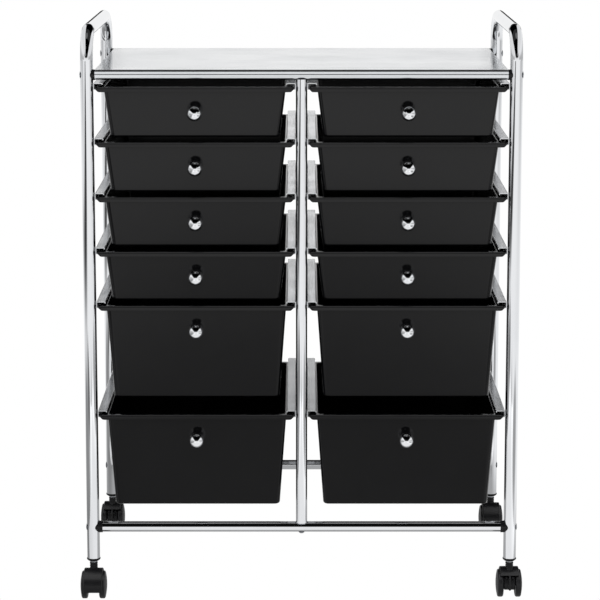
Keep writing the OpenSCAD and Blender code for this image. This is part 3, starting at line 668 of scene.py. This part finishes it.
def lump(centre, radii):
    """Ellipsoid: centre + (rx sin u cos v, ry sin u sin v, rz cos u)."""
    u, v = np.linspace(0, np.pi, 12)[:, None], np.linspace(0, 2 * np.pi, 16, endpoint=False)
    sphere = np.stack([np.sin(u) * np.cos(v), np.sin(u) * np.sin(v), np.cos(u) * np.ones_like(v)], -1)
    return grid(np.asarray(centre, float) + np.asarray(radii, float) * sphere)


neck = rounded([(4.1, 40), (4.1, NECK_TOP), (5.65, NECK_TOP), (5.65, 50.2), (5.1, 49.8), (5.1, 48.9), (5.65, 48.5),
                (5.65, 46.8), (5.1, 46.4), (5.1, 45.5), (5.65, 45.1), (5.65, 43), (7.5, 40), (4.1, 40)],
               [0, 0.2, 0.4, 0.2, 0.2, 0.2, 0.2, 0.2, 0.2, 0.2, 0.2, 1.0, 0, 0], 4)
hood = joined(fender(), web(WEB_HALF, 22.6, 17.5), web(1.4, 22.9, 23.4), turned(neck, around=40),
              lump((-4.4, -10.6, 31.5), (2.2, 2.6, 2.2)), lump((4.4, -10.6, 31.5), (2.2, 2.6, 2.2)),
              lump((0, -13.4, 20), (3.4, 1.6, 3.4)))

# %% [markdown]
# ## Wheels
# Each wheel is one hard moulding with a crowned outer face, so a pair looks like a small barrel from the front. Its
# profile is the crown's arc with a groove in it, a rounded tread and a flat inner face. One profile serves all eight.

# %% Wheels, and the hoods that hold them
INNER, CROWN, CROWN_R, EDGE = 8.5, 18.9, 80.0, 2.5
face_r = np.concatenate([np.linspace(0, 6.0, 6), [6.2, 6.4], np.linspace(6.8, 12.4, 8), [12.6, 12.9, 13.6, 13.9],
                         np.linspace(14.1, WHEEL_R - EDGE, 8)])
sunk = np.interp(face_r, [0, 5.9, 6.2, 6.5, 12.4, 12.7, 13.8, 14.1, 18], [0, 0, 0.35, 0, 0, 0.8, 0.8, 0, 0])
face = np.column_stack([face_r, CROWN - CROWN_R + np.sqrt(CROWN_R ** 2 - face_r ** 2) - sunk])
rim_x = face[-1, 1] - EDGE
round_edge = np.linspace(np.pi / 2, 0, 9)[1:]
edge_r, edge_x = WHEEL_R - EDGE + EDGE * np.cos(round_edge), EDGE * np.sin(round_edge)
outer = np.column_stack([edge_r, rim_x + edge_x])
inner = np.column_stack([edge_r, INNER + EDGE - edge_x])[::-1]
wheel_line = np.vstack([face, outer, inner, [(WHEEL_R - EDGE, INNER), (15.5, INNER), (15.0, INNER + 0.6),
                                             (4.0, INNER + 0.6), (3.6, INNER), (0, INNER)]])
for name, (x, y) in CORNERS.items():
    back = -1 if name in ("front_left", "rear_right") else 1
    points, faces = hood
    stand = np.array([x * POST_X, y * POST_Y, 0])
    piece(f"caster_hood_{name}", (points * (back, back, 1) + stand, faces))
    hub = stand + (0, back * TRAIL, AXLE_Z)
    for side, side_name in ((-1, "left"), (1, "right")):
        piece(f"caster_wheel_{name}_{side_name}", turned(wheel_line, hub, (side, 0, 0), 72))
print(len(made), "pieces,", sum(count for _, count in made), "faces")

# %% [markdown]
# ## The room
# Chrome shows nothing but its surroundings, so the room is part of the picture. What really stood there isn't known.
# This room was inferred from the photograph's knobs and handles and tuned until the render matched them: pale walls
# that are greyer near the floor far to the sides, dark above, a dark wedge straight ahead, and a faint lamp straight
# overhead. The world paints that by direction. The camera itself sees plain white paper.

# %% World painted by direction
DARK, PALE, LAMP_GLOW, SIDE_SHADE = 0.03, 0.95, 0.13, 0.45
RIDGE_LOW, RIDGE_HIGH, REAR_RISE, RIDGE_BLUR = 0.10, 0.62, 0.14, 0.05
LAMP_WAY = (0.0, -0.087, 0.996)
world = bpy.data.worlds.new("studio")
bpy.context.scene.world = world
world.use_nodes = True
sky = world.node_tree
way = sky.nodes.new("ShaderNodeTexCoord").outputs["Generated"]
xyz = add(sky, "ShaderNodeSeparateXYZ", {"Vector": way})
sideways = add(sky, "ShaderNodeMath", {0: xyz.outputs["X"]}, operation="ABSOLUTE")
ridge = add(sky, "ShaderNodeMapRange", {"Value": sideways.outputs[0], "From Min": 0.3, "From Max": 0.85,
                                        "To Min": RIDGE_LOW, "To Max": RIDGE_HIGH}, interpolation_type="SMOOTHSTEP")
middle = add(sky, "ShaderNodeMapRange", {"Value": sideways.outputs[0], "From Min": 0.32, "From Max": 0.24},
             interpolation_type="SMOOTHSTEP")
backwards = add(sky, "ShaderNodeMapRange", {"Value": xyz.outputs["Y"], "From Min": 0.6, "From Max": 0.8})
behind = add(sky, "ShaderNodeMath", {0: middle.outputs[0], 1: backwards.outputs[0]}, operation="MULTIPLY")
top = add(sky, "ShaderNodeMath", {0: behind.outputs[0], 1: REAR_RISE, 2: ridge.outputs[0]}, operation="MULTIPLY_ADD")
over = add(sky, "ShaderNodeMath", {0: xyz.outputs["Z"], 1: top.outputs[0]}, operation="SUBTRACT")
walls = add(sky, "ShaderNodeMapRange", {"Value": over.outputs[0], "From Min": RIDGE_BLUR, "From Max": -RIDGE_BLUR,
                                        "To Min": DARK, "To Max": PALE}, interpolation_type="SMOOTHSTEP")
lamp_way = add(sky, "ShaderNodeVectorMath", {0: way, 1: LAMP_WAY}, operation="DOT_PRODUCT")
lamp = add(sky, "ShaderNodeMapRange", {"Value": lamp_way.outputs["Value"], "From Min": 0.965, "From Max": 0.985,
                                       "To Min": 0.0, "To Max": LAMP_GLOW}, interpolation_type="SMOOTHSTEP")
far_side = add(sky, "ShaderNodeMapRange", {"Value": sideways.outputs[0], "From Min": 0.5, "From Max": 0.75,
                                           "To Min": 0.0, "To Max": SIDE_SHADE}, interpolation_type="SMOOTHSTEP")
low = add(sky, "ShaderNodeMapRange", {"Value": xyz.outputs["Z"], "From Min": 0.30, "From Max": 0.05},
          interpolation_type="SMOOTHSTEP")
shade = add(sky, "ShaderNodeMath", {0: far_side.outputs[0], 1: low.outputs[0]}, operation="MULTIPLY")
left_bright = add(sky, "ShaderNodeMath", {0: 1.0, 1: shade.outputs[0]}, operation="SUBTRACT")
shaded = add(sky, "ShaderNodeMath", {0: walls.outputs[0], 1: left_bright.outputs[0]}, operation="MULTIPLY")
light = add(sky, "ShaderNodeMath", {0: shaded.outputs[0], 1: lamp.outputs[0]}, operation="ADD")
seen = sky.nodes.new("ShaderNodeLightPath").outputs["Is Camera Ray"]
paper = add(sky, "ShaderNodeMath", {0: light.outputs[0], 1: seen}, operation="MAXIMUM")
sky.nodes["Background"].inputs["Color"].default_value = (1, 1, 1, 1)
sky.links.new(paper.outputs[0], sky.nodes["Background"].inputs["Strength"])

# %% [markdown]
# ## The floor
# The legs mirror the floor for metres around, and the dark streaks on them ask for dark places on it, which are painted
# shade in the floor's glow.
# Their positions were estimated by tracing reflections back and then tuned against the photograph: a dark strip 3 m to
# the left, softer patches of shade before the cart, and grey shade far to both sides. The floor below answers in three
# ways: to the camera it is evenly white paper, to light it is a pale dull sheet, and to reflections it glows as the
# studio's floor with that painted shade.

# %% Floor with painted shade patches that only reflections see
# Each painted shade patch: its middle and half sizes in metres, and the share of light that is left in its middle.
PAINTED_SHADE_PATCHES = [((-3.20, -4.5), (1.55, 6.6), 0.05), ((-1.25, -1.2), (0.65, 0.50), 0.20),
           ((-1.20, -0.15), (0.95, 0.95), 0.30), ((-0.03, -0.20), (0.80, 1.70), 0.42),
           ((1.10, -0.75), (0.65, 0.65), 0.40), ((-19.0, -1.5), (16.0, 7.0), 0.50), ((19.0, -1.0), (17.0, 6.0), 0.50)]
pale = bpy.data.materials.new("pale paper floor")
pale.use_nodes = True
tree = pale.node_tree
sheet_shader = tree.nodes["Principled BSDF"]
sheet_shader.inputs["Base Color"].default_value = linear("#F2F2F2")
sheet_shader.inputs["Roughness"].default_value = 0.9
spot_at = tree.nodes.new("ShaderNodeTexCoord").outputs["Object"]
light_left_by_shade = None
for (x, y), (half_x, half_y), share in PAINTED_SHADE_PATCHES:
    shifted = add(tree, "ShaderNodeVectorMath", {0: spot_at, 1: (x, y, 0)}, operation="SUBTRACT")
    scaled = add(tree, "ShaderNodeVectorMath", {0: shifted.outputs[0], 1: (1 / half_x, 1 / half_y, 1)},
                 operation="MULTIPLY")
    reach = add(tree, "ShaderNodeVectorMath", {0: scaled.outputs[0]}, operation="LENGTH")
    shade_patch = add(tree, "ShaderNodeMapRange", {"Value": reach.outputs["Value"], "From Min": 0.45, "From Max": 1.15,
                                             "To Min": share, "To Max": 1.0}, interpolation_type="SMOOTHSTEP")
    product = add(tree, "ShaderNodeMath", {0: shade_patch.outputs[0], 1: light_left_by_shade or 1.0}, operation="MULTIPLY")
    light_left_by_shade = product.outputs[0]
kind = tree.nodes.new("ShaderNodeLightPath")
# Reflections see the floor glowing, and each patch of painted shade lowers that glow.
studio = add(tree, "ShaderNodeEmission", {"Strength": light_left_by_shade})
white = add(tree, "ShaderNodeEmission", {"Strength": 1.0})
to_light = add(tree, "ShaderNodeMixShader", {0: kind.outputs["Is Glossy Ray"], 1: sheet_shader.outputs[0],
                                             2: studio.outputs[0]})
to_camera = add(tree, "ShaderNodeMixShader", {0: kind.outputs["Is Camera Ray"], 1: to_light.outputs[0],
                                              2: white.outputs[0]})
tree.links.new(to_camera.outputs[0], tree.nodes["Material Output"].inputs["Surface"])


def set_piece(name, corners, material):
    """Flat sheet of the set: its corners in metres."""
    mesh = bpy.data.meshes.new(name)
    mesh.from_pydata(corners, [], [tuple(range(len(corners)))])
    mesh.materials.append(material)
    thing = bpy.data.objects.new(name, mesh)
    bpy.context.scene.collection.objects.link(thing)
    return thing


set_piece("floor", [(-30, -40, 0), (30, -40, 0), (30, 4.5, 0), (-30, 4.5, 0)], pale)

# %% [markdown]
# ## Reflector cards and a ceiling
# Photographers of chrome shape its reflections with cards. The bent handles show a narrow dark core between two bright
# sides, so a white card stands beside each handle. The top of each handle has a thin dark line along its outer side,
# so a black card stands far behind on each side. Only reflections see the cards, and the white ones light nothing but
# the two side tubes, so the knobs keep their dark tops. Seen from higher up, the shelf would mirror the dark upper half
# of the room and look black, so a pale ceiling in two parts lights its flat and nothing else. The photograph doesn't
# show that view, so the ceiling is a choice and not a finding.

# %% White and black cards
def glowing(title, strength):
    """Material that only shines."""
    material = bpy.data.materials.new(title)
    material.use_nodes = True
    tree = material.node_tree
    glow = add(tree, "ShaderNodeEmission", {"Strength": strength})
    tree.links.new(glow.outputs[0], tree.nodes["Material Output"].inputs["Surface"])
    return material


def receivers(title, things):
    """Collection of the things that a light or a card is linked to."""
    collection = bpy.data.collections.new(title)
    for thing in things:
        collection.objects.link(thing)
    return collection


def mirrored_card(name, corners, material, lit=None):
    """Sheet of the set that only reflections see, and only those of the lit collection if there is one."""
    card = set_piece(name, corners, material)
    card.visible_camera = card.visible_diffuse = card.visible_shadow = card.visible_transmission = False
    if lit is not None:
        card.light_linking.receiver_collection = lit


side_tubes = [bpy.data.objects[name] for name in ("side_tube_left_surface", "side_tube_right_surface")]
lit_by_cards = receivers("lit by the white cards", side_tubes)
WHITE_CARD = [(0.46, -0.8, 0.89), (0.46, 0.5, 0.89), (0.46, 0.5, 1.3), (0.46, -0.8, 1.3)]
BLACK_CARD = [(0.56, 4.0, 0.35), (1.15, 4.0, 0.35), (1.15, 4.0, 1.22), (0.76, 4.0, 1.22), (0.56, 4.0, 0.96)]
for title, strength, corners, lit in (("white card", 0.85, WHITE_CARD, lit_by_cards),
                                      ("black card", 0.03, BLACK_CARD, None)):
    card_material = glowing(title, strength)
    for side, word in ((-1, "left"), (1, "right")):
        here = [(side * x, y, z) for x, y, z in corners]
        mirrored_card(f"{title} {word}".replace(" ", "_"), here, card_material, lit)

# %% Pale ceiling over the shelf
CEILING_Z, CEILING_GLOW = 3.0, 0.75
CEILING_HALF = [(2.2, 0.9), (3.2, 4.5), (3.2, 6.2)]
over_shelf = receivers("lit by the ceiling", [top_flat])
ceiling_paint = glowing("pale ceiling", CEILING_GLOW)
outline = CEILING_HALF + [(-x, y) for x, y in reversed(CEILING_HALF)]
for side, word in ((1, "rear"), (-1, "front")):
    mirrored_card("ceiling_" + word, [(x, side * y, CEILING_Z) for x, y in outline], ceiling_paint, over_shelf)

# %% [markdown]
# ## Light and camera
# A very wide sun stands for the big overhead softbox: it lights floor and plastics evenly and without hard shadows, and
# reflections don't see it, because the world already holds what they should show. The camera was fitted to places in
# the photograph with the lens shift held at -0.08. A larger shift matches the upright posts better, but crops the cart
# in the other views.

# %% Soft light from above
sun = bpy.data.objects.new("softbox", bpy.data.lights.new("softbox", "SUN"))
sun.data.energy = 2.6
sun.data.angle = np.radians(100)
sun.rotation_euler = (np.radians(32), 0, np.radians(-12))
sun.visible_glossy = False
bpy.context.scene.collection.objects.link(sun)

# %% Two panels, each for one kind of surface
# White in the photograph, and brighter than what the drawer faces mirror: the lower halves of the knobs, of the front
# crossbar and of the shelf edge, and the feet of the posts. A low panel before the cart lights only those. The rims of
# the drawers, the rails and the casters' domes have a sheen from above, which the knobs lack, so a high panel lights
# only them.
def light_panel(name, size, energy, place, tilt, starts):
    """Area light on the things whose names have one of the starts: size in metres, energy in watts, tilt in degrees."""
    seen_by = receivers("lit by the " + name, [thing for thing in bpy.data.objects if thing.name.startswith(starts)])
    lamp = bpy.data.objects.new(name, bpy.data.lights.new(name, "AREA"))
    lamp.data.shape = "RECTANGLE"
    lamp.data.size, lamp.data.size_y = size
    lamp.data.energy = energy
    lamp.location = place
    lamp.rotation_euler = (np.radians(tilt), 0, 0)
    lamp.visible_camera = False
    lamp.light_linking.receiver_collection = seen_by
    bpy.context.scene.collection.objects.link(lamp)


light_panel("low panel", (1.3, 1.15), 2.5, (0, -0.80, 0.004), 180,
            ("knob_", "side_tube_", "centre_post_front", "crossbar_front", "top_shelf"))
light_panel("high panel", (2.4, 2.2), 22.0, (0, -0.5, 1.9), 10, ("drawer_", "caster_", "rails_"))

# %% Camera at the photograph's place
LENS_MM, SENSOR_MM, SHIFT = 145.21, 36, (-0.0026, -0.0803)
DISTANCE, EYE_HEIGHT, LOOK_DOWN = 3.530, 1.071, 9.59
camera = bpy.data.objects.new("camera", bpy.data.cameras.new("camera"))
camera.data.lens = LENS_MM
camera.data.sensor_width = SENSOR_MM
camera.data.shift_x, camera.data.shift_y = SHIFT
camera.location = (0, -DISTANCE, EYE_HEIGHT)
camera.rotation_euler = (np.radians(90 - LOOK_DOWN), 0, 0)
camera.data.dof.use_dof = False
camera.data.clip_end = 60
bpy.context.scene.collection.objects.link(camera)
bpy.context.scene.camera = camera
bpy.context.scene.view_settings.view_transform = "Standard"
